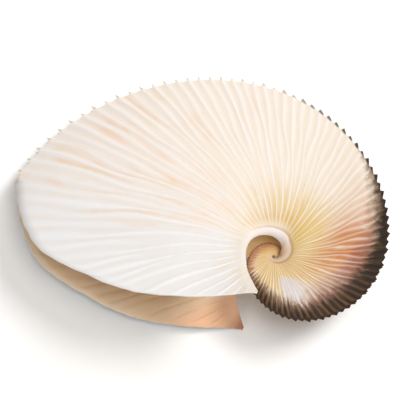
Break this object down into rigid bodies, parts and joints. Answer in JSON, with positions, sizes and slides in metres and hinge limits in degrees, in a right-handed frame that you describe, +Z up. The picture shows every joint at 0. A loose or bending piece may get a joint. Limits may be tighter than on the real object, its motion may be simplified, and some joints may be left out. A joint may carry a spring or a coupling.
{
  "type": "paper nautilus shell",
  "caption": "Thin coiled paper nautilus shell with fine ribbed flanks, small teeth along both sides of its keel and a wide open mouth, lying on its side.",
  "frame": {"origin": "middle of the bounding box's underside, on the surface the shell lies on", "axes": "+Z up; +X from the mouth's front end towards the coiled end; +Y from the mouth towards the back of the coil. The shell lies on one ear and one flank, so its coil axis leans from +Z"},
  "size_m": [0.1812, 0.1254, 0.0693],
  "materials": {
    "shell": "satin"
  },
  "bodies": {
    "root": {"shell": "shell"}
  },
  "joints": []
}
